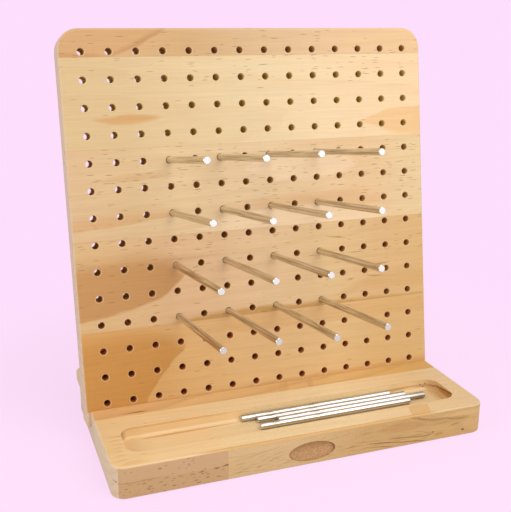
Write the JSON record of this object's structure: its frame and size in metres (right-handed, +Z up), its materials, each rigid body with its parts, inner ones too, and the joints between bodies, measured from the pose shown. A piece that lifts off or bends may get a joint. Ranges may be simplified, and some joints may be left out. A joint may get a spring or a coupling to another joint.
{
  "type": "peg board on a stand",
  "caption": "Square pine board with a grid of peg holes, leaning back in a slotted base with a tray; steel pegs hold crocheted or knitted squares while they dry flat.",
  "frame": {"origin": "centre of the base's footprint, on its underside", "axes": "+X to the right as seen from the front, +Y towards the back, +Z up"},
  "size_m": [0.2932, 0.1587, 0.3011],
  "materials": {
    "pine_stave_1": "sanded pine, bare",
    "pine_stave_2": "sanded pine, bare",
    "pine_stave_3": "sanded pine, bare",
    "pine_stave_4": "sanded pine, bare",
    "pine_stave_5": "sanded pine, bare",
    "pine_front_left": "sanded pine, bare",
    "pine_front_right": "sanded pine, bare",
    "pine_rear": "sanded pine, bare",
    "pine_rail": "sanded pine, bare",
    "steel_peg": "bright drawn steel"
  },
  "bodies": {
    "base": {"base_front_left": "pine_front_left", "base_front_right": "pine_front_right", "base_rear": "pine_rear", "back_rail": "pine_rail"},
    "board": {"board_stave_1": "pine_stave_1", "board_stave_2": "pine_stave_2", "board_stave_3": "pine_stave_3", "board_stave_4": "pine_stave_4", "board_stave_5": "pine_stave_5"},
    "peg_1": {"board_peg_1": "steel_peg"},
    "peg_2": {"board_peg_2": "steel_peg"},
    "peg_3": {"board_peg_3": "steel_peg"},
    "peg_4": {"board_peg_4": "steel_peg"},
    "peg_5": {"board_peg_5": "steel_peg"},
    "peg_6": {"board_peg_6": "steel_peg"},
    "peg_7": {"board_peg_7": "steel_peg"},
    "peg_8": {"board_peg_8": "steel_peg"},
    "peg_9": {"board_peg_9": "steel_peg"},
    "peg_10": {"board_peg_10": "steel_peg"},
    "peg_11": {"board_peg_11": "steel_peg"},
    "peg_12": {"board_peg_12": "steel_peg"},
    "peg_13": {"board_peg_13": "steel_peg"},
    "peg_14": {"board_peg_14": "steel_peg"},
    "peg_15": {"board_peg_15": "steel_peg"},
    "peg_16": {"board_peg_16": "steel_peg"},
    "spare_peg_1": {"tray_peg_1": "steel_peg"},
    "spare_peg_2": {"tray_peg_2": "steel_peg"},
    "spare_peg_3": {"tray_peg_3": "steel_peg"},
    "spare_peg_4": {"tray_peg_4": "steel_peg"}
  },
  "joints": [
    {"name": "board_lift", "type": "slide", "parent": "base", "child": "board", "axis": [0, 0.1552, 0.9879], "range_m": [0, 0.045]},
    {"name": "peg_1_pull", "type": "slide", "parent": "board", "child": "peg_1", "axis": [-0.0175, -0.9877, 0.1552], "range_m": [0, 0.025]},
    {"name": "peg_2_pull", "type": "slide", "parent": "board", "child": "peg_2", "axis": [-0.0175, -0.989, 0.1466], "range_m": [0, 0.025]},
    {"name": "peg_3_pull", "type": "slide", "parent": "board", "child": "peg_3", "axis": [-0.0262, -0.9875, 0.1552], "range_m": [0, 0.025]},
    {"name": "peg_4_pull", "type": "slide", "parent": "board", "child": "peg_4", "axis": [0.0175, -0.989, 0.1466], "range_m": [0, 0.025]},
    {"name": "peg_5_pull", "type": "slide", "parent": "board", "child": "peg_5", "axis": [0, -0.9879, 0.1552], "range_m": [0, 0.025]},
    {"name": "peg_6_pull", "type": "slide", "parent": "board", "child": "peg_6", "axis": [0.0087, -0.9904, 0.138], "range_m": [0, 0.025]},
    {"name": "peg_7_pull", "type": "slide", "parent": "board", "child": "peg_7", "axis": [0.0087, -0.9892, 0.1466], "range_m": [0, 0.025]},
    {"name": "peg_8_pull", "type": "slide", "parent": "board", "child": "peg_8", "axis": [0.0087, -0.9892, 0.1466], "range_m": [0, 0.025]},
    {"name": "peg_9_pull", "type": "slide", "parent": "board", "child": "peg_9", "axis": [0.0262, -0.9934, 0.112], "range_m": [0, 0.025]},
    {"name": "peg_10_pull", "type": "slide", "parent": "board", "child": "peg_10", "axis": [0.0087, -0.9904, 0.138], "range_m": [0, 0.025]},
    {"name": "peg_11_pull", "type": "slide", "parent": "board", "child": "peg_11", "axis": [0.0087, -0.9904, 0.138], "range_m": [0, 0.025]},
    {"name": "peg_12_pull", "type": "slide", "parent": "board", "child": "peg_12", "axis": [-0.0087, -0.9892, 0.1466], "range_m": [0, 0.025]},
    {"name": "peg_13_pull", "type": "slide", "parent": "board", "child": "peg_13", "axis": [0.0174, -0.9925, 0.1206], "range_m": [0, 0.025]},
    {"name": "peg_14_pull", "type": "slide", "parent": "board", "child": "peg_14", "axis": [0.0087, -0.9916, 0.1293], "range_m": [0, 0.025]},
    {"name": "peg_15_pull", "type": "slide", "parent": "board", "child": "peg_15", "axis": [0.0349, -0.994, 0.1033], "range_m": [0, 0.025]},
    {"name": "peg_16_pull", "type": "slide", "parent": "board", "child": "peg_16", "axis": [0.0262, -0.9913, 0.1293], "range_m": [0, 0.025]},
    {"name": "spare_peg_1_lift", "type": "slide", "parent": "base", "child": "spare_peg_1", "axis": [0, 0, 1], "range_m": [0, 0.02]},
    {"name": "spare_peg_2_lift", "type": "slide", "parent": "base", "child": "spare_peg_2", "axis": [0, 0, 1], "range_m": [0, 0.02]},
    {"name": "spare_peg_3_lift", "type": "slide", "parent": "base", "child": "spare_peg_3", "axis": [0, 0, 1], "range_m": [0, 0.02]},
    {"name": "spare_peg_4_lift", "type": "slide", "parent": "base", "child": "spare_peg_4", "axis": [0, 0, 1], "range_m": [0, 0.02]}
  ]
}
